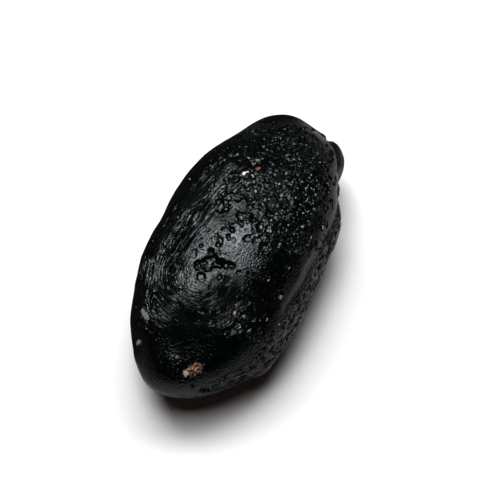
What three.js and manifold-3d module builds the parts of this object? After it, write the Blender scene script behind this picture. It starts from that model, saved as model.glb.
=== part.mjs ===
// An indochinite tektite: a drop of black natural glass, frozen in flight. It is long and
// flattened, with a small ear at one end, flow ridges, hollows and burst bubble pits.
// Millimetres, +Z up, standing on z = 0 with the origin under its middle.
//
// Places on the drop are counted from its own middle: x runs along it towards the ear,
// y across it and z up.

import * as THREE from 'three';
import { mergeVertices } from 'three/addons/utils/BufferGeometryUtils.js';
import Module from 'manifold-3d';

const wasm = await Module();
wasm.setup();

// The drop
const HALF_LENGTH = 30.2;
const HALF_WIDTH = 15.6;
const HALF_HEIGHT = 12.6;
const FULLNESS = 2.12; // 2 is an ellipsoid, and more is fuller at the shoulders
const WORN_DEPTH = 0.9; // glass worn off the underside, which leaves the flat it rests on

// The skin's facets
const FACET_DETAIL = 17; // cuts along each edge of the icosahedron that the drop grows from
const END_THINNING = 0.8; // below 1 puts fewer facets at the ends and more along the sides

// Glass
const GLASS_COLOUR = '#0d0e10';
const GLASS_ROUGHNESS = 0.42;

// Broad swells (+) and sinks (-) of the skin: a place, how far it reaches and how high it rises
const SWELLS = [
  { at: [25.2, -9, 1.2], reach: 3.3, rise: 0.85 }, // ear
  { at: [27.2, -6.4, 2.4], reach: 1.7, rise: 0.35 }, // the ear's shoulder
  { at: [23.2, -9.3, -1], reach: 2, rise: 0.4 }, // the ear's lobe
  { at: [12.5, -13.4, 1.5], reach: 3, rise: 0.25 },
  { at: [20.5, -12.5, 0], reach: 6, rise: -2.8 }, // neck behind the ear
  { at: [29, -3, 4], reach: 5.5, rise: -1.6 }, // notch between the ear and the tip
  { at: [4, -15, -2], reach: 10, rise: -0.8 }, // flattened flank
  { at: [-15, -14, -2], reach: 7, rise: 0.8 }, // heel of the blunt end
  { at: [-24.7, -7.6, -2.7], reach: 4.5, rise: -0.35 },
  { at: [-17.5, -13, -3.5], reach: 2.2, rise: 0.7 },
  { at: [-6.5, -14.8, -2.5], reach: 4, rise: 0.4 },
  { at: [20, 10.5, 5], reach: 6, rise: -0.5 },
  { at: [-25, 9, 0], reach: 7, rise: -0.8 },
  { at: [-17, 13, 2], reach: 6, rise: -0.65 },
  { at: [8, 14.5, 4], reach: 8, rise: 0.5 },
  { at: [25, 7, 5], reach: 5, rise: 0.3 },
  { at: [-2, 15, 4], reach: 2, rise: -0.4 }, // ledge on the rim
  { at: [5, 10.5, 9.8], reach: 3.6, rise: -0.45 }, // smooth hollow beside the long ridge
  { at: [-9.5, 0.5, 12], reach: 2.6, rise: -0.3 }, // dip of the pit nest
  { at: [2, -9.5, 10.5], reach: 3.5, rise: -0.3 },
  { at: [-8, -12.5, 7], reach: 4, rise: -0.35 },
  { at: [15, 1, 11], reach: 4.5, rise: -0.3 },
  { at: [-18, -9, 8], reach: 3.5, rise: 0.3 },
  { at: [12, 9, -9], reach: 4.5, rise: -0.7 }, // dents of the underside
  { at: [-15, -8, -9.5], reach: 4, rise: -0.6 },
  { at: [-16, 9, -8.5], reach: 3.5, rise: -0.5 },
  { at: [14, -9, -9], reach: 3.5, rise: -0.5 },
  { at: [6, 0, 12.6], reach: 13, rise: 0.8 }, // thicker towards the ear
  { at: [-22.5, -3, 8.7], reach: 8, rise: -1.2 }, // thinner towards the blunt end
  { at: [-14, -8, 9.9], reach: 5.5, rise: -0.8 },
  { at: [-29.5, 0, 1], reach: 4.5, rise: 0.55 },
  { at: [1, 15, 3.5], reach: 7, rise: -0.25 },
  { at: [-28.5, -3, -1], reach: 4, rise: -0.45 },
  { at: [-21, 10.5, 3], reach: 4, rise: 0.2 },
];

// Flow ridges (+) and furrows (-): the places they run through, half their width, and rise
const FLOWS = [
  { through: [[9, 6.4], [3.5, 6.7], [0.7, 7.2], [-1.8, 8.1], [-6.4, 9]], reach: 0.9, rise: 0.42 },
  { through: [[-2, 9.6], [-8, 10.6], [-15, 10.4], [-21, 7.4]], reach: 0.9, rise: 0.3 },
  { through: [[-1, 11.6], [-8, 12.4], [-15, 12]], reach: 1, rise: -0.3 },
  { through: [[-12, 7.2], [-17.5, 5], [-20, 0], [-18, -5]], reach: 0.9, rise: -0.15 },
  { through: [[19.5, -11], [23, -9.2], [26.5, -5.6], [28.5, -3]], reach: 0.9, rise: -0.5 },
  { through: [[16, -12.6], [8, -13.6], [0, -13.7], [-9, -13.6]], reach: 1, rise: -0.25 },
];

// Burst bubbles: a place, the radius of the mouth and the depth
const PITS = [
  { at: [-11.1, 2.2, 11.7], mouth: 0.9, depth: 0.65 }, // the nest near the top
  { at: [-9.9, 1.4, 11.9], mouth: 1, depth: 0.8 },
  { at: [-9.4, 0.2, 12], mouth: 1.1, depth: 0.85 },
  { at: [-9.1, -0.9, 12], mouth: 0.95, depth: 0.8 },
  { at: [-9, -2, 12], mouth: 0.8, depth: 0.6 },
  { at: [-12.8, 0.9, 11.6], mouth: 0.85, depth: 0.5 },
  { at: [-6.2, 0.8, 12.4], mouth: 0.75, depth: 0.5 },
  { at: [-3.1, 0.1, 12.5], mouth: 0.8, depth: 0.45 },
  { at: [-3.3, -2.9, 12.4], mouth: 0.8, depth: 0.45 },
  { at: [-0.1, -0.2, 12.6], mouth: 1, depth: 0.5 },
  { at: [0.3, -2.3, 12.5], mouth: 0.9, depth: 0.45 },
  { at: [2.7, -4.4, 12.2], mouth: 1.1, depth: 0.5 },
  { at: [-3.1, -6.1, 11.7], mouth: 1.05, depth: 0.5 },
  { at: [0.8, 4.5, 12.2], mouth: 0.9, depth: 0.45 },
  { at: [6, 4.1, 12.1], mouth: 1, depth: 0.45 },
  { at: [10.3, 2.6, 11.9], mouth: 1, depth: 0.5 },
  { at: [13.6, -5.4, 10.7], mouth: 0.9, depth: 0.45 },
  { at: [9.7, -6.7, 10.9], mouth: 0.8, depth: 0.4 },
  { at: [14.8, -9.3, 8.4], mouth: 0.9, depth: 0.5 },
  { at: [12.4, -11.3, 7.3], mouth: 0.8, depth: 0.45 },
  { at: [7.8, -11.2, 8.4], mouth: 0.8, depth: 0.4 },
  { at: [-8.2, -11.6, 8.1], mouth: 1, depth: 0.6 },
  { at: [-15.8, -9, 8.5], mouth: 0.85, depth: 0.45 },
  { at: [-17.8, -7.8, 8.7], mouth: 0.85, depth: 0.45 },
  { at: [-27, -6.7, 2], mouth: 0.85, depth: 0.5 },
  { at: [20.5, 8.5, 7], mouth: 0.9, depth: 0.45 },
];
const PIT_SPHERE_DETAIL = 1;

// More burst bubbles, strewn over the sides and the underside
const STREWN = { count: 24, top: 0.35, bottom: -0.8, turn: 2.4, mouth: 0.85, spread: 0.5 };

const HALF_SIZES = new THREE.Vector3(HALF_LENGTH, HALF_WIDTH, HALF_HEIGHT);

/** The point of the smooth drop in a direction from its middle. */
function onDrop(direction) {
  const powers = direction.toArray().map((part) => Math.abs(part) ** FULLNESS);
  const reach = (powers[0] + powers[1] + powers[2]) ** (-1 / FULLNESS);
  return direction.clone().multiplyScalar(reach).multiply(HALF_SIZES);
}

/** The direction straight out of the drop's skin at a point. */
function outOf(point) {
  return point.clone().divide(HALF_SIZES).divide(HALF_SIZES).normalize();
}

/** The point of the upper skin over a place given by x and y. */
function overPlace([x, y]) {
  const used = Math.abs(x / HALF_LENGTH) ** FULLNESS + Math.abs(y / HALF_WIDTH) ** FULLNESS;
  return new THREE.Vector3(x, y, HALF_HEIGHT * (1 - used) ** (1 / FULLNESS));
}

/** A round-topped bump's height at a distance from its middle, as a share of its rise. */
function fade(distance, reach) {
  return Math.exp(-((distance / reach) ** 2));
}

/** The flow lines as chains of straight stretches on the skin. */
function flowLines() {
  return FLOWS.map(({ through, reach, rise }) => {
    const places = through.map(overPlace);
    const stretches = places.slice(1).map((end, i) => new THREE.Line3(places[i], end));
    return { stretches, reach, rise };
  });
}

const LINES = flowLines();
const nearest = new THREE.Vector3();

/** How high the skin stands over the smooth drop at a point. */
function rise(point) {
  let height = 0;
  for (const swell of SWELLS) {
    const distance = point.distanceTo(new THREE.Vector3(...swell.at));
    height += swell.rise * fade(distance, swell.reach);
  }
  for (const line of LINES) {
    const distances = line.stretches.map((stretch) => {
      stretch.closestPointToPoint(point, true, nearest);
      return nearest.distanceTo(point);
    });
    height += line.rise * fade(Math.min(...distances), line.reach);
  }
  return height;
}

/** The point of the finished skin in a direction from the middle. */
function onSkin(direction) {
  const point = onDrop(direction);
  return point.clone().addScaledVector(outOf(point), rise(point));
}

/** A closed geometry as a solid that can be joined and cut. */
function solidOf(geometry) {
  geometry.deleteAttribute('normal');
  geometry.deleteAttribute('uv');
  const merged = mergeVertices(geometry);
  return new wasm.Manifold(new wasm.Mesh({
    numProp: 3,
    vertProperties: new Float32Array(merged.attributes.position.array),
    triVerts: new Uint32Array(merged.index.array),
  }));
}

/** A solid's skin as a geometry. */
function geometryOf(solid) {
  const mesh = solid.getMesh();
  const geometry = new THREE.BufferGeometry();
  geometry.setAttribute('position', new THREE.BufferAttribute(mesh.vertProperties, 3));
  geometry.setIndex(new THREE.BufferAttribute(mesh.triVerts, 1));
  return geometry;
}

/** The whole drop before anything is taken out of it. */
function dropSolid() {
  const geometry = new THREE.IcosahedronGeometry(1, FACET_DETAIL);
  const place = geometry.attributes.position;
  const direction = new THREE.Vector3();
  for (let i = 0; i < place.count; i += 1) {
    direction.fromBufferAttribute(place, i);
    direction.x *= END_THINNING;
    const point = onSkin(direction.normalize());
    place.setXYZ(i, point.x, point.y, point.z);
  }
  return solidOf(geometry);
}

/** The ball that leaves a pit of a given mouth and depth when it is cut from the skin. */
function pitBall({ at, mouth, depth }) {
  const point = onSkin(new THREE.Vector3(...at).divide(HALF_SIZES).normalize());
  const radius = (mouth ** 2 + depth ** 2) / (2 * depth);
  const ball = new THREE.IcosahedronGeometry(radius, PIT_SPHERE_DETAIL);
  const middle = point.addScaledVector(outOf(point), radius - depth);
  return solidOf(ball.translate(middle.x, middle.y, middle.z));
}

/** The strewn pits, on a spiral round the drop from its shoulder down to its underside. */
function strewnPits() {
  return Array.from({ length: STREWN.count }, (_, i) => {
    const height = STREWN.top + ((STREWN.bottom - STREWN.top) * i) / (STREWN.count - 1);
    const angle = i * STREWN.turn;
    const level = Math.sqrt(1 - height ** 2);
    const at = new THREE.Vector3(level * Math.cos(angle), level * Math.sin(angle), height);
    const mouth = STREWN.mouth + STREWN.spread * (Math.sin(i * i) ** 2);
    return { at: at.multiply(HALF_SIZES).toArray(), mouth, depth: mouth / 2 };
  });
}

/** The block that wears the underside flat. */
function wornBlock() {
  const block = new THREE.BoxGeometry(3 * HALF_LENGTH, 3 * HALF_LENGTH, HALF_HEIGHT);
  return solidOf(block.translate(0, 0, WORN_DEPTH - 1.5 * HALF_HEIGHT));
}

/** The tektite, with the origin under the middle of its box. */
function tektiteGeometry() {
  const cuts = [...PITS, ...strewnPits()].map(pitBall);
  const solid = cuts.reduce((whole, cut) => whole.subtract(cut), dropSolid());
  const geometry = geometryOf(solid.subtract(wornBlock()));
  geometry.computeBoundingBox();
  const { min, max } = geometry.boundingBox;
  return geometry.translate(-(min.x + max.x) / 2, -(min.y + max.y) / 2, -min.z);
}

const glass = new THREE.MeshStandardMaterial({
  color: GLASS_COLOUR,
  roughness: GLASS_ROUGHNESS,
  metalness: 0,
});

const tektite = new THREE.Mesh(tektiteGeometry(), glass);
tektite.name = 'tektite';

const part = new THREE.Group();
part.add(tektite);
export default part;
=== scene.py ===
"""An indochinite tektite: one drop of black natural glass, resting on a plain pale floor.

The drop is worked out in millimetres from its own middle, as its solid is: x runs along it
towards the ear, y across it and z up. The finished mesh is moved onto the solid, in metres.
"""

import math

import bmesh
import bpy
import numpy as np
from mathutils import Matrix, Vector, kdtree


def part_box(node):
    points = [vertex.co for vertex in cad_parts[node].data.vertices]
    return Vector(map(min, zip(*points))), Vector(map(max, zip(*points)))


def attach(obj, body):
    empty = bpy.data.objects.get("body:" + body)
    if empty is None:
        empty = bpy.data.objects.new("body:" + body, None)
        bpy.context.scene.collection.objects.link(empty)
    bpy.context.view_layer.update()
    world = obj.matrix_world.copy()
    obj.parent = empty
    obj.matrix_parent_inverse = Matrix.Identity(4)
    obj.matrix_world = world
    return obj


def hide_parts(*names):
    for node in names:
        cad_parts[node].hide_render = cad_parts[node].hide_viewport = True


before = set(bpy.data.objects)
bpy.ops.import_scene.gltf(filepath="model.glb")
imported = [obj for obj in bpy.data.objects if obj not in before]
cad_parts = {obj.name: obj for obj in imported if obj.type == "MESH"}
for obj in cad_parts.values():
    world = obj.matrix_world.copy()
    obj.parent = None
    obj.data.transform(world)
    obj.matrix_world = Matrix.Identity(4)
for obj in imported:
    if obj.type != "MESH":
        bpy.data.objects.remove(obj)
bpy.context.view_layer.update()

MM = 0.001
TINY = 1e-9                             # keeps a length of 0 from being divided by

# ---------------------------------------------------------------- the drop's own sizes
HALF_SIZES = np.array([30.2, 15.6, 12.6])
FULLNESS = 2.12                         # 2 is an ellipsoid, and more is fuller at the shoulders
WORN_DEPTH = 0.9                        # glass worn off the underside, which leaves its flat
WORN_LEVEL = WORN_DEPTH - HALF_SIZES[2]  # how high the flat lies over the drop's middle

# Broad swells (+) and sinks (-) of the skin: a place, how far it reaches and how high it rises
SWELLS = [
    ((25.2, -9, 1.2), 3.3, 0.85),       # ear
    ((27.2, -6.4, 2.4), 1.7, 0.35),     # the ear's shoulder
    ((29, -3.2, 1.6), 0.9, 0.3),        # bead between the ear and the tip
    ((23.2, -9.3, -1), 2, 0.4),         # the ear's lobe
    ((12.5, -13.4, 1.5), 3, 0.25),      # fold in front of the neck
    ((20.5, -12.5, 0), 6, -2.8),        # neck behind the ear
    ((29, -3, 4), 5.5, -1.6),           # notch between the ear and the tip
    ((4, -15, -2), 10, -0.8),           # flattened flank
    ((-15, -14, -2), 7, 0.8),           # heel of the blunt end
    ((-24.7, -7.6, -2.7), 4.5, -0.35),  # hollow under the blunt end
    ((-17.5, -13, -3.5), 2.2, 0.7),     # knob of the heel
    ((-6.5, -14.8, -2.5), 4, 0.4),      # end of the flattened flank
    ((20, 10.5, 5), 6, -0.5),           # flat of the far shoulder
    ((-25, 9, 0), 7, -0.8),             # taper of the blunt end
    ((-17, 13, 2), 6, -0.65),           # taper of the far rim
    ((8, 14.5, 4), 8, 0.5),             # bulge of the far rim
    ((25, 7, 5), 5, 0.3),               # shoulder of the tip
    ((-2, 15, 4), 2, -0.4),             # ledge on the rim
    ((5, 10.5, 9.8), 3.6, -0.45),       # smooth hollow beside the long ridge
    ((-9.5, 0.5, 12), 2.6, -0.3),       # dip of the pit nest
    ((2, -9.5, 10.5), 3.5, -0.3),       # dips of the upper side
    ((-8, -12.5, 7), 4, -0.35),
    ((15, 1, 11), 4.5, -0.3),
    ((-18, -9, 8), 3.5, 0.3),           # low rise on the blunt end
    ((12, 9, -9), 4.5, -0.7),           # dents of the underside
    ((-15, -8, -9.5), 4, -0.6),
    ((-16, 9, -8.5), 3.5, -0.5),
    ((14, -9, -9), 3.5, -0.5),
    ((6, 0, 12.6), 13, 0.8),            # thicker towards the ear
    ((-22.5, -3, 8.7), 8, -1.2),        # thinner towards the blunt end
    ((-14, -8, 9.9), 5.5, -0.8),        # hollow beside the pit nest
    ((-29.5, 0, 1), 4.5, 0.55),         # round of the blunt end
    ((1, 15, 3.5), 7, -0.25),           # sink of the far rim
    ((-28.5, -3, -1), 4, -0.45),        # chin of the blunt end
    ((-21, 10.5, 3), 4, 0.2),           # cheek of the blunt end
]

# Flow ridges (+) and furrows (-): the places they run through, half their width, and rise
FLOWS = [
    (((9, 6.4), (3.5, 6.7), (0.7, 7.2), (-1.8, 8.1), (-6.4, 9)), 0.9, 0.42),  # long ridge
    (((-2, 9.6), (-8, 10.6), (-15, 10.4), (-21, 7.4)), 0.9, 0.3),  # ridge of the far flank
    (((-1, 11.6), (-8, 12.4), (-15, 12)), 1, -0.3),  # furrow outside it
    (((-12, 7.2), (-17.5, 5), (-20, 0), (-18, -5)), 0.9, -0.15),  # furrow round the blunt end
    (((19.5, -11), (23, -9.2), (26.5, -5.6), (28.5, -3)), 0.9, -0.5),  # furrow behind the ear
    (((29.15, -4.4), (27.9, -5.1)), 0.45, -0.85),  # nick over the ear
    (((26.6, -6.6), (25.2, -7.8), (23.6, -8.8)), 0.45, -0.5),  # gap inside the ear
    (((29.5, -0.9), (28.0, -1.4), (26.4, -1.8)), 0.5, -0.7),  # nick of the tip
    (((21.0, -10.3), (19.0, -11.3), (16.5, -12.3)), 0.5, 0.3),  # thin ridge of the neck
    (((16, -12.6), (8, -13.6), (0, -13.7), (-9, -13.6)), 1, -0.25),  # furrow over the lower rim
]

# Cracks: the places they run through, half their width, and how deep they are
CRACKS = [
    (((-26.9, -6.8, 1.0), (-26.4, -7.5, -0.2), (-24.3, -9.3, -0.9), (-22.1, -10.9, -1.6)),
     0.38, 0.9),
]

# Large burst bubbles: a place, the radius of the mouth and the depth
PITS = [
    ((-11.1, 2.2, 11.7), 0.85, 0.65),   # the nest near the top
    ((-9.9, 1.4, 11.9), 1.0, 0.8),
    ((-9.4, 0.2, 12.0), 1.1, 0.85),
    ((-9.1, -0.9, 12.0), 0.95, 0.8),
    ((-9.0, -2.0, 12.0), 0.75, 0.6),
    ((-8.7, -3.0, 12.0), 0.5, 0.35),
    ((-10.7, 0.7, 11.7), 0.75, 0.65),
    ((-8.0, 1.5, 12.2), 0.6, 0.35),
    ((-12.8, 0.9, 11.6), 0.8, 0.5),
    ((-11.4, -1.8, 11.6), 0.5, 0.38),
    ((-11.1, -3.1, 11.6), 0.42, 0.25),
    ((-6.2, 0.8, 12.4), 0.62, 0.45),
    ((-5.1, 1.9, 12.4), 0.35, 0.2),
    ((-3.1, 0.1, 12.5), 0.65, 0.4),
    ((-4.4, 0.1, 12.5), 0.42, 0.3),
    ((-3.3, -2.9, 12.4), 0.6, 0.35),
    ((-0.2, -0.2, 12.6), 0.85, 0.5),
    ((0.2, -2.1, 12.5), 0.75, 0.42),
    ((2.6, -4.2, 12.2), 1.0, 0.5),
    ((-3.1, -6.1, 11.7), 0.95, 0.5),
    ((-0.2, -4.9, 12.0), 0.5, 0.3),
    ((6.0, 4.1, 12.1), 0.85, 0.42),
    ((5.7, 5.3, 11.9), 0.5, 0.3),
    ((4.7, 5.0, 12.0), 0.42, 0.3),
    ((3.8, 4.8, 12.1), 0.42, 0.3),
    ((2.6, 4.4, 12.2), 0.6, 0.35),
    ((0.8, 4.5, 12.2), 0.78, 0.42),
    ((-0.6, 3.1, 12.4), 0.5, 0.3),
    ((0.6, 2.6, 12.5), 0.58, 0.36),
    ((2.0, 3.1, 12.4), 0.5, 0.32),
    ((10.3, 2.6, 11.9), 0.95, 0.5),     # the rusty one
    ((13.6, -5.4, 10.7), 0.75, 0.4),
    ((12.3, -6.6, 10.5), 0.5, 0.3),
    ((9.7, -6.7, 10.9), 0.6, 0.34),
    ((14.8, -9.3, 8.4), 0.75, 0.5),
    ((13.4, -10.1, 8.2), 0.5, 0.3),
    ((12.4, -11.3, 7.3), 0.6, 0.4),
    ((7.8, -11.2, 8.4), 0.6, 0.35),
    ((19.2, 5.4, 9.2), 0.42, 0.25),
    ((22.8, 4.8, 8.0), 0.5, 0.28),
    ((-8.2, -11.6, 8.1), 0.85, 0.55),
    ((-15.1, -6.9, 9.9), 0.58, 0.34),
    ((-14.8, -8.2, 9.3), 0.5, 0.3),
    ((-15.9, -9.2, 8.4), 0.68, 0.38),
    ((-17.7, -7.8, 8.7), 0.68, 0.36),
    ((-15.9, -9.9, 7.8), 0.58, 0.33),
    ((-16.3, -11.8, 5.8), 0.48, 0.3),
    ((-12.6, -11.5, 7.4), 0.45, 0.28),
    ((-26.7, -6.5, 0.9), 0.95, 0.8),
    ((-27.7, -5.3, 3.1), 0.42, 0.26),
]

# Small burst bubbles, strewn in crowds: how many, their least and their greatest mouth
STREWN = ((60, 0.5, 0.8), (900, 0.3, 0.48))
STREWN_DEPTHS = (0.2, 0.7)              # the least and the greatest, for each millimetre of mouth
STREWN_STRETCHES = (0.2, 1.6)           # how much longer they are where the flow is strongest
STREWN_SEED = 7

PIT_REACH = 1.45                        # how far out a pit changes the skin, in mouths
LIP_PLACE = 1.12                        # how far out its lip lies, in mouths
LIP_WIDTH = 0.16                        # half the width of the lip, in mouths
LIP_RISE = 0.10                         # for each millimetre of the pit's depth
ROUGH_MOUTH = 0.6                       # from this mouth on, a pit's bottom is fully uneven
PIT_FINISH = (0.02, 0.35)               # depths at which the finish of pits starts and is full

EVEN_CROWD = 0.35                       # how crowded small pits are away from the places below
CROWD_LIMITS = (0.02, 1.4)              # the least and the most that it comes to
CLUMP_GAPS = 0.12                       # how crowded they are between their clumps
CLUMP_SHARE = 0.6                       # and how much more in the middle of one
CLUMP_SHARPNESS = 1.5                   # above 1 draws the clumps together
# Where small pits crowd (+) and where the glass stayed smooth (-): a place, its reach, how much
CROWDS = [
    ((12, -4, 11), 9, 1.0),             # the pitted half
    ((20, -2, 9), 7, 1.0),
    ((1, -4, 12.4), 5, 0.7),
    ((3, 3.5, 12.3), 4.5, 0.6),
    ((-15.5, -8.5, 8.8), 3.6, 0.8),
    ((-23, 7, 5), 3.5, 0.8),
    ((-18.5, 8, 8), 4, 0.5),
    ((6, -10.5, 10), 4.5, 0.7),
    ((0, -9.5, 10.5), 2.5, 0.5),
    ((20.5, 5.5, 9), 3.2, 1.2),
    ((8.5, 9, 10.5), 2.2, 1.2),
    ((13, 7.5, 10.4), 4, 0.5),
    ((-4.5, -12.5, 7.5), 5, -1.0),
    ((-9, -7.5, 11), 3.5, -0.6),
    ((-21, -8.2, 7), 4.5, -1.2),
    ((-23.5, -1, 7.5), 4.2, -1.0),
    ((-13, 0, 11.8), 5, -0.5),
    ((4.5, 10.5, 9.6), 4.5, -1.0),
    ((24, 3, 8), 2.6, -1.0),
    ((23, -8.5, 3), 3.5, -1.2),
    ((-28.5, 2, 2), 5, -1.0),
    ((27, 4, 4), 5, -0.8),
]

# Where the glass has lost its gloss when seen from the side: a place, its reach, how much
MATT = [
    ((-12, 14, 3), 15, 1.0),            # far flank
    ((10, 13, 4), 13, 1.0),             # far rim
    ((27, 5, 3), 8, 1.0),               # tip
    ((-24, 8, 2), 8, 0.8),              # blunt end
    ((-17, -13, 1), 6, 0.2),            # heel
    ((-24, -9, 1), 5, 0.2),             # chin of the blunt end
    ((23, -8, 3), 4.5, 0.4),            # ear
    ((13, -13, 1), 5, -0.5),            # glossier foot of the neck
    ((0, -14.5, 0), 7, -0.5),           # glossier flattened flank
    ((-11, -14.5, -1), 5, -0.5),        # glossier heel
    ((14, 2, 10), 10, 0.3),             # pitted half
]
MATT_LIMITS = (-0.4, 1)                 # the least and the most that it comes to

# Where it has lost its gloss from every side
DULL = [
    ((-12.4, -5.0, 11), 3.4, 1.1),
    ((-18.5, -1.5, 9.4), 4.2, 1.0),
    ((-1.5, 2.0, 13), 2.4, 0.75),
    ((-20.5, -7.5, 6.8), 4.5, 0.9),
    ((-23, 0.3, 7.2), 3.2, 0.9),
    ((-19, 3.5, 8.8), 2.6, 0.5),
    ((-3, -8.5, 10.5), 3, 0.4),
]

# Marks that are colour only, painted glints among them: a place, its reach, how much
CLAY = [
    ((-25.3, -5.0, 4.9), 1.0, 1.0),
    ((-25.9, -4.2, 4.9), 1.0, 1.0),
    ((-26.3, -3.7, 4.7), 0.7, 0.9),
]
# Pale chalk on the clay, and pale painted glints elsewhere on the glass
CHALK_AND_GLINTS = [
    ((-26.8, -3.4, 4.6), 0.75, 1.0),    # the pale end of the clay
    ((-26.0, -5.0, 4.3), 0.4, 0.7),
    # painted glints, not chalk: a cream one on the upper side and a pale one on the lower rim
    ((-14.6, -6.7, 9.0), 0.45, 0.9),
    ((-11.8, -13.4, 4.8), 0.4, 0.8),
]
RUST = [
    ((-24.7, -5.0, 5.4), 0.5, 0.9),
    ((10.0, 1.7, 12.8), 0.6, 1.2),
]
FROST = [
    ((-21.4, 7.0, 7.2), 0.9, 1.1),
    ((-20.9, 7.8, 6.8), 0.7, 1.0),
    ((-22.0, 6.2, 7.0), 0.6, 0.9),
    ((-25.5, 6.5, 3.9), 0.8, 0.9),
    ((-23.7, 5.0, 6.5), 0.7, 0.55),
    ((-25.9, -0.1, 5.9), 1.3, 0.4),
    ((-25.4, -1.4, 5.9), 1.0, 0.4),
    ((-25.0, 6.0, 4.6), 0.9, 0.55),
    ((-17.0, -4.4, 8.8), 1.2, 0.5),
    ((-18.6, -7.1, 7.7), 1.0, 0.6),
    ((-14.9, -6.5, 8.9), 1.0, 0.62),
]
# Painted glints: white spots that stand in for highlights on the glass, each a place, its reach and
# how much
GLINT_PLACES = [
    ((7.9, 3.5, 12.9), 0.5, 1.3),
    ((8.4, 2.9, 12.8), 0.3, 1.0),
]

# A hairline scratch on the blunt end, from one place to the other
SCRATCH = ((-25.3, 2.0, 6.2), (-21.5, -2.8, 7.5))
SCRATCH_START = (-0.2, 0.5)             # how far along it the scratch starts and is full
SCRATCH_TAPER = 1.5                     # how far before its end it starts to run out
SCRATCH_EDGE = (0.01, 0.06)             # how far off its line it starts to fade and is gone
SCRATCH_WANDER = 0.12                   # how far its line wanders
SCRATCH_BREAKS = (0.4, 0.65)            # levels of its noise at which it is broken and whole

# The flow lines turn round this place, and run off from it this way
TURN_PLACE = np.array([-12.4, 2.1])
RUN_WAY = np.array([math.cos(math.radians(-14)), math.sin(math.radians(-14))])
TURN_REACH = 9                          # how far the flow runs for each radian of its turn
TURN_CALM = (0.12, 0.4)                 # radians from there at which threads start and are full

# Where the flow shows. A fade has the way it goes, and where it has nothing and all of it
ALONG, ACROSS, UP = (1, 0, 0), (0, 1, 0), (0, 0, 1)
FLANK_FADES = (((-0.1, 1, 0), 2.5, 7.0), (ALONG, 6, -2), (UP, -3, 3), (ALONG, -24, -18))
BLUNT_FADES = ((ALONG, -8, -13), (ALONG, -20.5, -14), (ACROSS, -10, -3))
BELLY_FADES = ((ACROSS, -9, -11), (UP, 6, 3))
FAINT_FADES = ((ALONG, -22, -16),)
BLUNT_SHARE = 0.6
BELLY_SHARE = 0.4
BELLY_END = (-19, -15)                  # the stretch in which it weakens to the blunt end
BELLY_END_SHARE = 0.3                   # and what is left of it there
FAINT_SHARE = 0.03                      # what shows all over but at the blunt end's round
FAR_RIM = (8.0, 10.5)                   # the stretch across in which the flank's flow weakens
FAR_RIM_LOSS = 0.75                     # and how much of it is gone past that
RIM_TAPER = 0.25                        # how fast the far rim comes in towards the blunt end
RIM_TAPER_START = -9                    # and from where along the drop
SMOOTH_FLANK = ((5, 11, 8), 6, 0.8)     # where the flow is gone: a place, its reach, how much
FLOW_PATCHES = (
    ((24.5, -8.0, 3.5), 4.5, 0.45),     # ear
    ((6.0, 9.5, 10.5), 5, 0.6),         # beside the long ridge
)

# The etched band along the lower rim, on the ear's side
BAND_FADES = ((ACROSS, -7.5, -9.5), (ALONG, 20, 16))
BAND_TOP = (6.0, 3.5)                   # how high up it starts and is full
BROW_DROP = 2.0                         # how much lower that is on the blunt end
BROW_STRETCH = (-15.5, -19.5)           # and the stretch in which it drops
ETCHED_EDGE = (0.1, 0.35)               # levels of its noise at which hollows start and are full
ETCHED_DEPTH = 0.28
HEEL_ETCHING = 0.24                     # how much deeper they are on the heel
HEEL_STRETCH = (-13, -17)               # and the stretch in which they deepen

# Noise: how large its lumps are, how high they rise, and a seed that no other noise has. What is
# drawn out along the flow has its size in radians across it and in centimetres along it
FLOW_WANDER = ((7, 0.03, 1), (2.6, 0.02, 2))
THREAD_SIZE = np.array([0.032, 0.25, 1])
THREADS = ((THREAD_SIZE, 0.04, 3), (THREAD_SIZE / 1.9, 0.024, 4))
LOW_LUMPS = ((4.2, 0.13, 5), (1.7, 0.06, 6))
PIT_WOBBLE = ((1.0, 0.32, 8), (0.5, 0.24, 9))
PIT_RUBBLE = ((0.6, 0.6, 10),)
CLUMPS = ((2.6, 0.5, 11),)
ETCHED_HOLLOWS = (((0.028, 0.07, 1), 1.0, 12), ((0.017, 0.04, 1), 0.7, 13))
CRUST_LUMPS = ((3.2, 1.0, 21),)
SEED_SHIFT = 17.31                      # how many lumps apart two seeds next to each other lie
CORNERS = [(i & 1, i >> 1 & 1, i >> 2) for i in range(8)]  # of a cell of noise
# Large odd numbers that scatter what is multiplied by them
CORNER_FACTORS = np.array([374761393, 668265263, 1274126177])
MIXING_FACTOR = 1103515245

# The crust, where chips of small pits make up the skin
CRUST_CROWD = (0.95, 1.35)              # how crowded they are where it starts and is full
CRUST_BREAKS = (-0.35, 0.15)            # levels of its noise at which it is broken and whole
BROKEN_CRUST = 0.45                     # what is left of it where it is broken

# ---------------------------------------------------------------- the skin's grid
BALL_SUBDIVISIONS = 4                   # of the ball that it grows from
CUTS = 11                               # cuts along each of that ball's edges
GRID_LIFT = 0.40                        # above 0 puts more of the grid on the upper side
GRID_THINNING = 0.8                     # below 1 puts less of it at the ends

# ---------------------------------------------------------------- the finish
# Treads of the flow, coarse and fine: how many there are to a radian round the drop, how finely
# they wander across and along the flow and how far, where on its run each starts to drop back, and
# where on it the dull furrow starts and is full
TREADS = (
    (24.0, 12.0, 1.5, 2.4, 0.66, (0.36, 0.66)),
    (43.0, 20.0, 2.4, 3.2, 0.60, (0.50, 0.80)),
)
# Fine bubbles: cells to a metre, the least and the greatest mouth in cells, how many more cells
# have one in a crowd, how many have one everywhere, and how deep they are for their mouth
BUBBLES = (
    (1050, 0.18, 0.40, 1.2, 0.0, 0.5),
    (1900, 0.20, 0.42, 1.0, 0.05, 0.5),
    (3300, 0.20, 0.45, 0.8, 0.05, 0.4),
)
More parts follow.
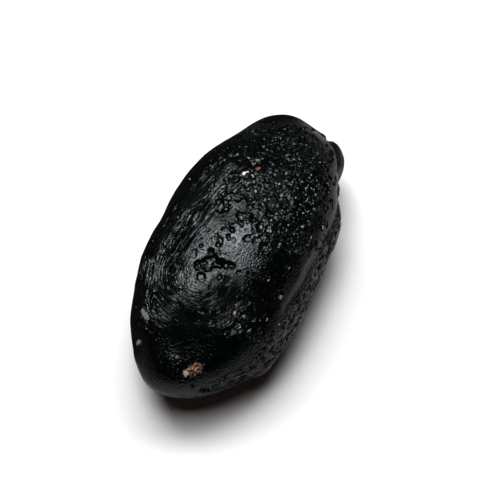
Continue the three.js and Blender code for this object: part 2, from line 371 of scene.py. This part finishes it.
# Burst bubbles with glossy, nearly level floors: cells to a metre, their size in cells, how many
# more cells have one in a crowd, how many have one everywhere, how askew the floors lie and how
# level they are on the whole
CHIPS = (
    (1700, 0.45, 0.5, 0.20, 0.45, 1.10),
    (1100, 0.42, 0.5, 0.12, 0.40, 1.05),
    (750, 0.33, 0.4, 0.04, 0.35, 1.00),
)
CHIP_FACING = (-0.155, -0.079, 0.985)   # which way the glossy floors face on average
CHIP_LEAST = 0.6                        # the least size of a chip, as a share of its row's
CHIP_SPREAD = 0.8                       # and how much more it may be
CHIP_EDGE = 0.35                        # how far in from its edge a chip is full, as a share
CELL_SHOVE = 0.0005                     # how far the cells' outlines are shoved about, in metres

# Noise in the glass: lumps to a metre, how much finer noise is laid over it, and how rough that is
DUST_NOISE = (260.0, 3.0, 0.6)
LUMP_NOISE = (420.0, 3.0, 0.6)
DULL_NOISE = (900.0, 3.0, 0.7)
RAGGED_NOISE = (1500.0, 3.0, 0.7)
BAND_NOISE = (1700.0, 3.0, 0.7)
SHOVE_NOISE = (1900.0, 2.0, 0.5)
EARTH_NOISE = (2400.0, 3.0, 0.6)
GRAIN_NOISE = (3600.0, 0.0)
FINE_GRAIN_NOISE = (6500.0, 0.0)
# Noise drawn out along the flow: how fine it is across and along it, and the finer noise over it
RISE_LINES = (14.0, 4.0, 0.0)
BAND_LINES = (38.0, 15.0, 3.0)

# Heights of the relief that is finer than the mesh, in millimetres
TREAD_RISE = 0.10
TREAD_SWELL = 0.36                      # how much higher a coarse tread may be
FINE_TREAD_RISE = 0.10
LUMP_RISE = 0.08
GRAIN_RISE = 0.085
GRAIN_LOSS = 0.05                       # how much less the grain rises in a crowd of pits
BAND_LINE_RISE = 0.22
BAND_GRAIN_RISE = 0.2

# Edges of the marks: how ragged they are, and the levels at which a mark starts and is full
CLAY_EDGE = (3.0, 0.55, 0.95)
RUST_EDGE = (1.6, 0.5, 0.75)
FROST_EDGE = (3.0, 0.6, 1.1)
CHALK_AND_GLINT_EDGE = (3.0, 0.55, 0.95)
GLINT_EDGE = (1.5, 0.6, 0.8)

# How far a facet faces away, from 0 to 1, where its gloss starts to go and is gone
TURNED_AWAY = (0.12, 0.45)
GRAZING = (0.72, 0.9)                   # and where it comes back, unless the glass is matt
MOST_LOST = 0.96                        # the most that a facet loses of its gloss
GLASS_ROUGHNESS = 0.12
GLASS_BENDING = 1.6                     # index of refraction, which sets how strongly it reflects
GLASS_SHEEN = (0.955, 1.0, 1.02, 1)     # tint of what it reflects

FRESH_GLASS = (0.0006, 0.0015, 0.001725, 1)
DUSTY_GLASS = (0.0033, 0.006, 0.00648, 1)
PIT_BOTTOM = (0.00525, 0.007, 0.007, 1)
ETCHED_GLASS = (0.00165, 0.00285, 0.00315, 1)
# pale flecks along the etched band: partly dust, partly painted glints
BAND_DUST_AND_GLINTS = (0.063, 0.06, 0.0552, 1)
RUST_RED = (0.27, 0.13, 0.085, 1)
FROST_GREY = (0.2522, 0.26, 0.2652, 1)
DARK_EARTH = (0.020, 0.008, 0.004, 1)
PALE_EARTH = (0.42, 0.25, 0.13, 1)
SCRATCH_GREY = (0.10, 0.10, 0.10, 1)
# pale chalk, and the colour of the pale painted glints
CHALK_AND_GLINT_WHITE = (0.42, 0.38, 0.33, 1)
# white of the painted glints
GLINT_WHITE = (0.8, 0.8, 0.8, 1)

# ---------------------------------------------------------------- view and light
CAMERA_TURN = -63.0                     # degrees round the stone
CAMERA_RISE = 62.0                      # degrees above the floor
CAMERA_LENS = 85.0                      # millimetres, as the next two are
CAMERA_DISTANCE = 212.0
CAMERA_AIM = (1.6, 0.2)                 # right and up of the drop's middle
CAMERA_NEAREST = 0.005                  # metres, short of which nothing shows

FLOOR_REACH = 1.5                       # metres to each side
FLOOR_SQUARES = 24                      # along each side
FLOOR_GREYS = ((0.80, 0.80, 0.80, 1), (0.82, 0.82, 0.82, 1))
FLOOR_MOTTLES = 30.0                    # to a metre
FLOOR_ROUGHNESS = 0.7
ROOM_GLOW = (1, 0.62, 0.52, 1)
ROOM_STRENGTH = 0.03
# Soft lights: the way to each one (right, near and up, as seen from the camera), how far off it
# is, its two sides, and its power, in metres and watts
LIGHTS = (
    ("overhead", (-0.09, 0.015, 1.0), 0.6, (0.24, 0.24), 2.0),
    ("overhead_strip", (-0.04, -0.352, 1.0), 0.64, (0.60, 0.21), 4.15),
)
PICTURE_GAMMA = 0.78


# ---------------------------------------------------------------- the drop's form
def unit(vectors):
    """Some vectors, each at a length of 1."""
    return vectors / np.linalg.norm(vectors, axis=1)[:, None]


def smooth_step(low, high, value):
    """0 up to low, 1 from high on, and smooth in between."""
    share = np.clip((value - low) / (high - low), 0, 1)
    return share * share * (3 - 2 * share)


def fading(away, reach):
    """1 where nothing is away, fading to 0 past the reach."""
    share = away / reach
    return np.exp(-share * share)


def patch(points, place, reach):
    """1 at a place, fading to 0 past its reach."""
    return fading(np.linalg.norm(points - np.array(place), axis=1), reach)


def patches(points, start, places):
    """A level over the stone, raised or lowered round some places."""
    level = np.full(len(points), float(start))
    for place, reach, much in places:
        level += much * patch(points, place, reach)
    return level


def scattered(corners):
    """A number from -1 to 1 for each corner, that looks drawn at random and is always the same."""
    mixed = corners @ CORNER_FACTORS
    mixed = (mixed ^ (mixed >> 13)) * MIXING_FACTOR & 0x7FFFFFFF
    mixed = (mixed ^ (mixed >> 16)) & 0xFFFF
    return mixed / 32767.5 - 1


def noise(points, size, seed):
    """Smooth noise from -1 to 1 whose lumps are about as large as size."""
    scaled = points / size + seed * SEED_SHIFT
    cell = np.floor(scaled).astype(np.int64)
    part = scaled - cell
    ease = part * part * (3 - 2 * part)
    total = np.zeros(len(points))
    for corner in CORNERS:
        share = np.where(corner, ease, 1 - ease).prod(1)
        total += share * scattered(cell + corner)
    return total


def lumps(points, rows):
    """The sum of some noises, each with a size, a rise and a seed."""
    return sum(rise * noise(points, size, seed) for size, rise, seed in rows)


def within(points, fades):
    """1 where all of some fades are full, and 0 where one of them has nothing."""
    share = np.ones(len(points))
    for way, nothing, full in fades:
        share = share * smooth_step(nothing, full, points @ np.array(way))
    return share


def on_drop(directions):
    """The points of the smooth drop in some directions from its middle."""
    reach = (np.abs(directions) ** FULLNESS).sum(1) ** (-1 / FULLNESS)
    return directions * reach[:, None] * HALF_SIZES


def out_of(points):
    """The directions straight out of the smooth drop at some points."""
    return unit(points / HALF_SIZES**2)


def over_place(x, y):
    """The point of the upper skin over a place."""
    used = abs(x / HALF_SIZES[0]) ** FULLNESS + abs(y / HALF_SIZES[1]) ** FULLNESS
    return np.array([x, y, HALF_SIZES[2] * (1 - used) ** (1 / FULLNESS)])


def from_stretch(points, start, end):
    """How far some points are from the straight stretch between two places."""
    run = end - start
    share = np.clip((points - start) @ run / (run @ run), 0, 1)
    return np.linalg.norm(points - start - share[:, None] * run, axis=1)


def from_line(points, corners):
    """How far some points are from a line through some corners."""
    stretches = zip(corners, corners[1:])
    return np.min([from_stretch(points, start, end) for start, end in stretches], axis=0)


def broad_rise(points):
    """How high the swells and flow ridges stand over the smooth drop."""
    height = np.zeros(len(points))
    for place, reach, rise in SWELLS:
        height += rise * patch(points, place, reach)
    for places, reach, rise in FLOWS:
        corners = [over_place(x, y) for x, y in places]
        height += rise * fading(from_line(points, corners), reach)
    return height


def drop_form(directions):
    """The points of the drop, with its swells and flow ridges, in some directions."""
    points = on_drop(directions)
    return points + out_of(points) * broad_rise(points)[:, None]


# ---------------------------------------------------------------- the flow and the etching
def flow_of(points):
    """How far out the flow line of some points lies, how far along it they are, and its way."""
    offset = points[:, :2] - TURN_PLACE
    ahead = np.maximum(offset @ RUN_WAY, 0)
    aside = offset - ahead[:, None] * RUN_WAY
    reach = np.linalg.norm(aside, axis=1) + TINY
    across = np.arctan2(reach, points[:, 2])
    left = aside @ np.array([-RUN_WAY[1], RUN_WAY[0]])
    bearing = np.arcsin(np.clip(left / reach, -1, 1))
    run = bearing * TURN_REACH + np.sign(left) * ahead
    way = np.stack([-aside[:, 1], aside[:, 0], np.zeros(len(points))], 1) / reach[:, None]
    return across, run, way


def flow_places(points):
    """Where some points lie in the flow: its level in radians and its run in centimetres."""
    across, run, _ = flow_of(points)
    level = across + lumps(points, FLOW_WANDER)
    return np.column_stack([level, run / 10, np.zeros(len(points))])


def flank_share(points):
    """How strongly the flow shows on the far flank."""
    x, y, _ = points.T
    rim = smooth_step(*FAR_RIM, y + RIM_TAPER * np.maximum(RIM_TAPER_START - x, 0))
    place, reach, much = SMOOTH_FLANK
    left = (1 - FAR_RIM_LOSS * rim) * (1 - much * patch(points, place, reach))
    return within(points, FLANK_FADES) * left


def flow_share(points, level):
    """How strongly the flow lines show at some points, and the fine threads among them."""
    threads = np.maximum(flank_share(points), BLUNT_SHARE * within(points, BLUNT_FADES))
    threads = threads * smooth_step(*TURN_CALM, level)
    end = smooth_step(*BELLY_END, points[:, 0])
    belly = within(points, BELLY_FADES) * (BELLY_END_SHARE + (1 - BELLY_END_SHARE) * end)
    spots = [much * patch(points, place, reach) for place, reach, much in FLOW_PATCHES]
    shares = np.max([threads, BELLY_SHARE * belly, *spots], axis=0)
    return np.clip(shares + FAINT_SHARE * within(points, FAINT_FADES), 0, 1), threads


def etched_band(points, flow):
    """The band along the lower rim on the ear's side, and the hollows etched into it."""
    brow = points[:, 2] + BROW_DROP * smooth_step(*BROW_STRETCH, points[:, 0])
    band = within(points, BAND_FADES) * smooth_step(*BAND_TOP, brow)
    return band, smooth_step(*ETCHED_EDGE, lumps(flow, ETCHED_HOLLOWS)) * band


def fine_rise(points, flow, flows, etched):
    """How high the flow lines, etching, cracks and low lumps raise (+) or sink (-) the skin."""
    deeper = HEEL_ETCHING * smooth_step(*HEEL_STRETCH, points[:, 0])
    height = flows * lumps(flow, THREADS) - (ETCHED_DEPTH + deeper) * etched
    for places, reach, depth in CRACKS:
        height -= depth * fading(from_line(points, [np.array(place) for place in places]), reach)
    return height + lumps(points, LOW_LUMPS)


# ---------------------------------------------------------------- the burst bubbles
def crowding(points):
    """How crowded the small pits are at some points."""
    clumps = (0.5 + lumps(points, CLUMPS)) ** CLUMP_SHARPNESS
    crowd = np.clip(patches(points, EVEN_CROWD, CROWDS), *CROWD_LIMITS)
    return crowd * (CLUMP_GAPS + CLUMP_SHARE * clumps)


def crust_share(points):
    """How far chips of small pits make up the skin at some points."""
    crust = smooth_step(*CRUST_CROWD, patches(points, EVEN_CROWD, CROWDS))
    whole = smooth_step(*CRUST_BREAKS, lumps(points, CRUST_LUMPS))
    return crust * (BROKEN_CRUST + (1 - BROKEN_CRUST) * whole)


def pit_list(points, flows, crowd):
    """All burst bubbles: a place, the mouth, the depth, and how far the flow drew them out."""
    rng = np.random.RandomState(STREWN_SEED)
    pits = [(np.array(place), mouth, depth, 1.0) for place, mouth, depth in PITS]
    share = crowd / crowd.sum()
    for count, low, high in STREWN:
        for i in rng.choice(len(points), count, replace=False, p=share):
            mouth = rng.uniform(low, high)
            depth = mouth * rng.uniform(*STREWN_DEPTHS)
            stretch = 1 + flows[i] * rng.uniform(*STREWN_STRETCHES)
            pits.append((points[i], mouth, depth, stretch))
    return pits


def search_tree(points):
    """A tree that finds the points near a place."""
    tree = kdtree.KDTree(len(points))
    for i, point in enumerate(points):
        tree.insert(point, i)
    tree.balance()
    return tree


def sink_pits(points, out, pits):
    """How deep the pits sink the skin at some points, and how high their lips raise it."""
    tree = search_tree(points)
    _, _, ways = flow_of(points)
    dent = np.zeros(len(points))
    lip = np.zeros(len(points))
    wobble = 1 + lumps(points, PIT_WOBBLE)
    rubble = lumps(points, PIT_RUBBLE)
    for place, mouth, depth, stretch in pits:
        middle, near, _ = tree.find(place)
        found = tree.find_range(middle, PIT_REACH * mouth * stretch)
        index = np.array([item[1] for item in found])
        away = points[index] - np.array(middle)
        along = ways[near] - out[near] * (ways[near] @ out[near])
        along = along / (np.linalg.norm(along) + TINY)
        run = away @ along
        across = np.sqrt(np.maximum((away * away).sum(1) - run * run, 0))
        radius = np.sqrt((run / stretch) ** 2 + across**2) / mouth * wobble[index]
        bowl = depth * np.sqrt(np.clip(1 - radius**2, 0, 1))
        bowl = bowl * (1 + rubble[index] * min(1, mouth / ROUGH_MOUTH))
        edge = LIP_RISE * depth * fading(radius - LIP_PLACE, LIP_WIDTH)
        dent[index] = np.maximum(dent[index], bowl)
        lip[index] = np.maximum(lip[index], edge)
    return dent, lip


# ---------------------------------------------------------------- the stone's mesh
def drop_grid():
    """An even grid round a ball, to be drawn out into the drop."""
    grid = bmesh.new()
    bmesh.ops.create_icosphere(grid, subdivisions=BALL_SUBDIVISIONS, radius=1.0)
    cuts = CUTS
    bmesh.ops.subdivide_edges(grid, edges=grid.edges, cuts=cuts, use_grid_fill=True)
    mesh = bpy.data.meshes.new("tektite_skin")
    grid.to_mesh(mesh)
    grid.free()
    return mesh


def grid_directions(mesh):
    """The directions from the drop's middle to the grid's points, crowded where it shows most."""
    directions = np.empty(3 * len(mesh.vertices))
    mesh.vertices.foreach_get("co", directions)
    directions = unit(directions.reshape(-1, 3))
    return unit((directions + [0, 0, GRID_LIFT]) * [GRID_THINNING, 1, 1])


def drop_middle(form):
    """Where the drop's middle lies in the solid's box, in metres, with the flat at its foot."""
    low, high = [np.array(corner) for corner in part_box("tektite")]
    middle = (low + high) / 2 - MM * (form.min(0) + form.max(0)) / 2
    middle[2] = low[2] - MM * WORN_LEVEL
    return middle


def mark(mesh, name, values):
    """Write values at the mesh's points that the finish reads by name."""
    kind, field = ("FLOAT", "value") if values.ndim == 1 else ("FLOAT_VECTOR", "vector")
    mesh.attributes.new(name, kind, "POINT").data.foreach_set(field, values.ravel())


def build_stone():
    """The stone, and where the drop's middle lies, in metres in the solid's frame."""
    mesh = drop_grid()
    form = drop_form(grid_directions(mesh))
    out = out_of(form)
    flow = flow_places(form)
    flows, threads = flow_share(form, flow[:, 0])
    band, etched = etched_band(form, flow)
    crowd = crowding(form)
    dent, lip = sink_pits(form, out, pit_list(form, flows, crowd))
    points = form + out * (fine_rise(form, flow, flows, etched) + lip - dent)[:, None]
    points[:, 2] = np.maximum(points[:, 2], WORN_LEVEL)
    middle = drop_middle(form)
    mesh.vertices.foreach_set("co", (points * MM + middle).ravel())
    mesh.update()
    mesh.shade_smooth()

    deep = np.maximum(smooth_step(*PIT_FINISH, dent), etched)
    matt = np.clip(patches(form, 0, MATT), *MATT_LIMITS)
    clay, rust, frost, chalk_and_glints = [patches(form, 0, places) for places in (CLAY, RUST, FROST, CHALK_AND_GLINTS)]
    mark(mesh, "flow", flow)
    mark(mesh, "flow_share", flows)
    mark(mesh, "threads", threads)
    mark(mesh, "skin", np.stack([deep, crowd, matt], 1))
    mark(mesh, "stains", np.stack([clay, rust, frost], 1))
    mark(mesh, "worn_and_glints", np.stack([crust_share(form), band, chalk_and_glints], 1))
    mark(mesh, "dull", np.clip(patches(form, 0, DULL), 0, 1))
    mark(mesh, "painted_glints", patches(form, 0, GLINT_PLACES))

    stone = bpy.data.objects.new("tektite_stone", mesh)
    bpy.context.scene.collection.objects.link(stone)
    return stone, middle


# ---------------------------------------------------------------- node trees
class Value:
    """A socket of a node tree; sums and products of values add Math nodes."""

    def __init__(self, tree, socket):
        self.tree = tree
        self.socket = socket

    def math(self, operation, *others):
        inputs = dict(enumerate([self, *others]))
        return self.tree.add("ShaderNodeMath", {"operation": operation}, inputs)

    def __add__(self, other):
        return self.math("ADD", other)

    def __mul__(self, other):
        return self.math("MULTIPLY", other)

    def __sub__(self, other):
        return self.math("SUBTRACT", other)

    def __rsub__(self, other):
        return (self * -1) + other

    def __truediv__(self, other):
        return self.math("DIVIDE", other)

    __radd__ = __add__
    __rmul__ = __mul__

    def between(self, low, high):
        """0 up to low, 1 from high on, and smooth in between."""
        settings = {"interpolation_type": "SMOOTHSTEP"}
        return self.tree.add("ShaderNodeMapRange", settings, {0: self, 1: low, 2: high})


def greatest(first, *others):
    """The greatest of some values."""
    for other in others:
        first = first.math("MAXIMUM", other)
    return first


class Tree:
    """A new material and its nodes."""

    def __init__(self, name):
        self.material = bpy.data.materials.new(name)
        self.material.use_nodes = True
        self.nodes = self.material.node_tree.nodes
        self.links = self.material.node_tree.links
        self.shader = self.nodes["Principled BSDF"]
        self.place = self.add("ShaderNodeTexCoord", output="Object")

    def add(self, kind, settings=None, inputs=None, output=0):
        """A node of a kind, its settings set first, then its sockets' values or links."""
        node = self.nodes.new(kind)
        for name, value in (settings or {}).items():
            setattr(node, name, value)
        for name, value in (inputs or {}).items():
            self.feed(node.inputs[name], value)
        return Value(self, node.outputs[output])

    def feed(self, socket, value):
        """A link into a socket, or its own value."""
        if isinstance(value, Value):
            self.links.new(value.socket, socket)
        else:
            socket.default_value = value

    def written(self, name, output="Fac"):
        """What is written at the mesh's points under a name."""
        return self.add("ShaderNodeAttribute", {"attribute_name": name}, output=output)

    def parts(self, vector):
        """The three numbers of a vector."""
        first = self.add("ShaderNodeSeparateXYZ", None, {0: vector})
        return [Value(self, socket) for socket in first.socket.node.outputs]

    def vectors(self, operation, *vectors, output="Vector"):
        """Vector Math on some vectors."""
        settings = {"operation": operation}
        return self.add("ShaderNodeVectorMath", settings, dict(enumerate(vectors)), output)

    def mix(self, share, first, second):
        """One colour over another."""
        settings = {"data_type": "RGBA"}
        return self.add("ShaderNodeMix", settings, {0: share, 6: first, 7: second}, output=2)

    def noise(self, scale, detail=2.0, roughness=0.5, place=None, output=0):
        """Noise over the object, or over another place."""
        inputs = {"Vector": place or self.place, "Scale": scale}
        inputs.update({"Detail": detail, "Roughness": roughness})
        return self.add("ShaderNodeTexNoise", None, inputs, output)

    def lines(self, flow, across, along, detail):
        """Noise drawn out along the flow."""
        drawn = self.vectors("MULTIPLY", flow, (across, along, along))
        return self.noise(1.0, detail, 0.4, drawn)

    def cells(self, place, scale):
        """Cells strewn evenly: how far off each one's middle is, its draws, and its middle."""
        inputs = {"Vector": place, "Scale": scale, "Randomness": 1.0}
        away = self.add("ShaderNodeTexVoronoi", {"feature": "F1"}, inputs, "Distance")
        outputs = away.socket.node.outputs
        return away, Value(self, outputs["Color"]), Value(self, outputs["Position"])


# ---------------------------------------------------------------- finishes
class Glass(Tree):
    """The glass's tree, with what more than one part of its finish reads."""

    def __init__(self):
        super().__init__("tektite_glass")
        self.flow = self.written("flow", "Vector")
        self.deep, self.crowd, self.matt = self.parts(self.written("skin", "Vector"))
        self.crust, self.band, chalk_and_glints = self.parts(self.written("worn_and_glints", "Vector"))
        clay, rust, frost = self.parts(self.written("stains", "Vector"))
        self.dusty = self.noise(*DUST_NOISE).between(0.48, 0.75)
        self.lumps = self.noise(*LUMP_NOISE)
        self.ragged = self.noise(*RAGGED_NOISE) - 0.5
        self.band_lines = self.lines(self.flow, *BAND_LINES)
        self.clay = self.edged(clay, CLAY_EDGE)
        self.rust = self.edged(rust, RUST_EDGE)
        self.frost = self.edged(frost, FROST_EDGE)
        self.chalk_and_glints = self.edged(chalk_and_glints, CHALK_AND_GLINT_EDGE)
        self.painted_glints = self.edged(self.written("painted_glints"), GLINT_EDGE)

    def edged(self, level, edge):
        """A mark with a ragged edge."""
        raggedness, nothing, full = edge
        return (level + self.ragged * raggedness).between(nothing, full)

    def chance(self, crowded, everywhere, draw):
        """1 in the cells that have something, by their draw, and 0 in the others."""
        return (self.crowd * crowded + everywhere - draw).math("GREATER_THAN", 0.0)


def shoved_place(glass):
    """The place, shoved about, so that no cell has an even outline."""
    before = glass.vectors("SUBTRACT", glass.place, (CELL_SHOVE / 2,) * 3)
    ways = glass.noise(*SHOVE_NOISE, output="Color")
    return glass.vectors("MULTIPLY_ADD", ways, (CELL_SHOVE,) * 3, before)


def bubbles(glass, shoved, row):
    """How deep fine round bubbles sink the glass, in millimetres."""
    scale, small, large, crowded, everywhere, squat = row
    away, draws, _ = glass.cells(shoved, scale)
    draw, girth, _ = glass.parts(draws)
    mouth = small + girth * (large - small)
    inside = greatest(1 - (away / mouth) * (away / mouth), 0.0)
    there = glass.chance(crowded, everywhere, draw)
    return inside.math("SQRT") * mouth * there * (-squat / MM / scale)


def chips(glass, shoved, row):
    """How high the floors of burst bubbles lie, in millimetres, and where they are."""
    scale, size, crowded, everywhere, askew, levelled = row
    away, draws, chip_middle = glass.cells(shoved, scale)
    draw, girth, _ = glass.parts(draws)
    offset = glass.vectors("SUBTRACT", glass.place, chip_middle)
    mean_lean = [-askew / 2 - levelled * part for part in CHIP_FACING]
    lean = glass.vectors("MULTIPLY_ADD", draws, (askew,) * 3, mean_lean)
    rise = glass.vectors("DOT_PRODUCT", offset, lean, output="Value")
    reach = size * (CHIP_LEAST + CHIP_SPREAD * girth)
    mask = (1 - away / reach).between(0.0, CHIP_EDGE)
    mask = mask * glass.chance(crowded, everywhere, draw)
    return rise * mask / MM, mask


def treads(glass):
    """How high the coarse and the fine treads of the flow stand, and their dull furrows."""
    level, _, _ = glass.parts(glass.flow)
    steps, furrows = [], []
    for count, across, along, wander, crest, furrow in TREADS:
        wandering = glass.lines(glass.flow, across, along, 1.0) * wander
        tread = (level * count + wandering).math("FRACT")
        steps.append(tread - tread.between(crest, 1.0))
        furrows.append(tread.between(*furrow))
    return steps, furrows


def fine_relief(glass, steps, shoved, floors, chipped):
    """The bump of all that is finer than the mesh."""
    swell = glass.lines(glass.flow, *RISE_LINES).between(0.3, 0.7)
    streaks = steps[0] * (TREAD_RISE + TREAD_SWELL * swell) + steps[1] * FINE_TREAD_RISE
    grain = glass.noise(*GRAIN_NOISE) + glass.noise(*FINE_GRAIN_NOISE) * 0.4
    grain = grain * (GRAIN_RISE - glass.crowd * GRAIN_LOSS)
    dents = sum(bubbles(glass, shoved, row) for row in BUBBLES)
    etching = glass.band_lines.between(0.42, 0.62) * BAND_LINE_RISE
    etching = etching + glass.noise(*BAND_NOISE) * BAND_GRAIN_RISE
    height = streaks * glass.written("flow_share") + glass.lumps * LUMP_RISE
    height = height + (grain + dents) * (1 - chipped * 0.8)
    height = height + floors * glass.crust + etching * glass.band
    inputs = {"Strength": 1.0, "Distance": MM, "Height": height}
    return glass.add("ShaderNodeBump", None, inputs, output="Normal")


def scratch_line(glass, middle):
    """Where the hairline scratch runs."""
    start, end = [Vector(place) * MM + Vector(middle) for place in SCRATCH]
    run = (end - start).normalized()
    side = run.cross(Vector((0, 0, 1))).normalized()
    length = (end - start).length / MM
    offset = glass.vectors("SUBTRACT", glass.place, start)
    along = glass.vectors("DOT_PRODUCT", offset, run, output="Value") / MM
    aside = glass.vectors("DOT_PRODUCT", offset, side, output="Value") / MM
    ends = along.between(*SCRATCH_START) * (1 - along.between(length - SCRATCH_TAPER, length))
    off_line = (aside + glass.ragged * SCRATCH_WANDER).math("ABSOLUTE")
    whole = (glass.ragged + 0.5).between(*SCRATCH_BREAKS)
    return (1 - off_line.between(*SCRATCH_EDGE)) * ends * whole


def glass_colour(glass, scratch):
    """The glass's colour, with dust, pit bottoms, marks and painted glints laid over it one by one.
    """
    earth = glass.mix(glass.noise(*EARTH_NOISE).between(0.43, 0.68), DARK_EARTH, PALE_EARTH)
    layers = (
        (glass.dusty * 0.5, DUSTY_GLASS),
        (glass.deep * 0.35, PIT_BOTTOM),
        # pale flecks on the etched band's lines: partly dust, partly painted glints
        (glass.band * glass.band_lines.between(0.5, 0.64) * 0.8, BAND_DUST_AND_GLINTS),
        (glass.rust * 0.9, RUST_RED),
        (glass.frost * 0.85, FROST_GREY),
        (glass.clay, earth),
        (scratch * 0.8, SCRATCH_GREY),
        # pale chalk on the clay, and painted glints
        (glass.chalk_and_glints * 0.9, CHALK_AND_GLINT_WHITE),
        # painted glints
        (glass.painted_glints, GLINT_WHITE),
    )
    colour = FRESH_GLASS
    for share, layer in layers:
        colour = glass.mix(share, colour, layer)
    return colour


def glass_roughness(glass, chipped):
    """How rough the glass is: more where it is dusty or marked, less in pits and chips."""
    edge = glass.add("ShaderNodeLayerWeight", None, {"Blend": 0.5}, output="Facing")
    rough = GLASS_ROUGHNESS + 0.10 * glass.dusty + 0.06 * glass.lumps
    rough = rough - 0.04 * glass.deep + 0.1 * edge * edge - 0.07 * chipped
    return rough + 0.5 * (glass.clay + glass.chalk_and_glints + glass.frost * 0.6)


def lost_gloss(glass, bump, furrows, chipped, scratch):
    """Where etching has taken the gloss: seen from the side, between chips and in furrows."""
    inputs = {"Blend": 0.5, "Normal": bump}
    facing = glass.add("ShaderNodeLayerWeight", None, inputs, output="Facing")
    lost = facing.between(*TURNED_AWAY)
    lost = lost * (0.3 + 0.7 * glass.matt + 0.7 * glass.deep).math("MINIMUM", MOST_LOST)
    lost = lost * (1 - facing.between(*GRAZING) * (1 - glass.matt).math("MINIMUM", 1.0))
    threads = glass.written("threads") * greatest(furrows[0], furrows[1] * 0.7)
    dull = glass.written("dull") * glass.noise(*DULL_NOISE).between(0.26, 0.48)
    between_chips = (glass.crust - chipped) * 0.75
    lost = greatest(lost, between_chips, threads * 0.9, dull * 0.95, (1 - glass.crust) * 0.14)
    # no gloss is lost under the marks and the painted glints
    marks = greatest(glass.clay, glass.rust, glass.frost, glass.chalk_and_glints, glass.painted_glints, scratch)
    return lost * (1 - marks)


def tektite_glass(middle):
    """Black natural glass, glossy where it is fresh and dull where it is etched, with its marks and
    painted glints.
    """
    glass = Glass()
    shoved = shoved_place(glass)
    floors, masks = zip(*[chips(glass, shoved, row) for row in CHIPS])
    chipped = greatest(*masks) * glass.crust
    steps, furrows = treads(glass)
    scratch = scratch_line(glass, middle)
    bump = fine_relief(glass, steps, shoved, sum(floors), chipped)

    glass.feed(glass.shader.inputs["Base Color"], glass_colour(glass, scratch))
    glass.feed(glass.shader.inputs["Roughness"], glass_roughness(glass, chipped))
    glass.feed(glass.shader.inputs["Normal"], bump)
    glass.feed(glass.shader.inputs["IOR"], GLASS_BENDING)
    glass.feed(glass.shader.inputs["Specular Tint"], GLASS_SHEEN)
    glossy = Value(glass, glass.shader.outputs["BSDF"])
    etched = glass.add("ShaderNodeBsdfDiffuse", None, {"Color": ETCHED_GLASS})
    lost = lost_gloss(glass, bump, furrows, chipped, scratch)
    finish = glass.add("ShaderNodeMixShader", None, {0: lost, 1: glossy, 2: etched})
    glass.feed(glass.nodes["Material Output"].inputs["Surface"], finish)
    return glass.material


def floor_finish():
    """Pale, faintly mottled board."""
    tree = Tree("pale_floor")
    colour = tree.mix(tree.noise(FLOOR_MOTTLES), *FLOOR_GREYS)
    tree.feed(tree.shader.inputs["Base Color"], colour)
    tree.feed(tree.shader.inputs["Roughness"], FLOOR_ROUGHNESS)
    return tree.material


# ---------------------------------------------------------------- the stage
def view_axes():
    """The camera's right, its up, and the way back to it from the stone."""
    turn, rise = math.radians(CAMERA_TURN), math.radians(CAMERA_RISE)
    level = Vector((math.sin(turn), -math.cos(turn), 0))
    back = level * math.cos(rise) + Vector((0, 0, math.sin(rise)))
    right = Vector((math.cos(turn), math.sin(turn), 0))
    return right, back.cross(right), back


def axes_at(place, axes):
    """The transform that puts something at a place, turned to three axes."""
    return Matrix.Translation(place) @ Matrix(axes).transposed().to_4x4()


def place_camera(middle):
    """The camera, aimed at the stone."""
    right, up, back = view_axes()
    aim = Vector(middle) + MM * (CAMERA_AIM[0] * right + CAMERA_AIM[1] * up)
    data = bpy.data.cameras.new("camera")
    data.lens = CAMERA_LENS
    data.clip_start = CAMERA_NEAREST
    camera = bpy.data.objects.new("camera", data)
    camera.matrix_world = axes_at(aim + MM * CAMERA_DISTANCE * back, (right, up, back))
    bpy.context.scene.collection.objects.link(camera)
    bpy.context.scene.camera = camera


def soft_light(name, toward, distance, sides, power, middle):
    """A soft light that faces the stone."""
    right, _, back = view_axes()
    near = Vector((back.x, back.y, 0)).normalized()
    up = Vector((0, 0, 1))
    direction = (toward[0] * right + toward[1] * near + toward[2] * up).normalized()
    across = near.cross(direction).normalized()
    data = bpy.data.lights.new(name, "AREA")
    data.shape = "RECTANGLE"
    data.size, data.size_y = sides
    data.energy = power
    light = bpy.data.objects.new(name, data)
    axes = (across, direction.cross(across), direction)
    light.matrix_world = axes_at(Vector(middle) + direction * distance, axes)
    bpy.context.scene.collection.objects.link(light)


def light_room(middle):
    """The room's faint glow and its soft lights."""
    world = bpy.data.worlds.new("room")
    world.use_nodes = True
    background = world.node_tree.nodes["Background"]
    background.inputs["Color"].default_value = ROOM_GLOW
    background.inputs["Strength"].default_value = ROOM_STRENGTH
    bpy.context.scene.world = world
    for row in LIGHTS:
        soft_light(*row, middle)


def lay_floor():
    """The floor that the stone rests on."""
    grid = bmesh.new()
    squares = {"x_segments": FLOOR_SQUARES, "y_segments": FLOOR_SQUARES}
    bmesh.ops.create_grid(grid, size=FLOOR_REACH, **squares)
    mesh = bpy.data.meshes.new("floor")
    grid.to_mesh(mesh)
    grid.free()
    mesh.materials.append(floor_finish())
    floor = bpy.data.objects.new("floor", mesh)
    bpy.context.scene.collection.objects.link(floor)


stone, stone_middle = build_stone()
stone.data.materials.append(tektite_glass(stone_middle))
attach(stone, "root")
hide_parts("tektite")

place_camera(stone_middle)
lay_floor()
light_room(stone_middle)
bpy.context.scene.view_settings.view_transform = "Standard"
bpy.context.scene.view_settings.gamma = PICTURE_GAMMA
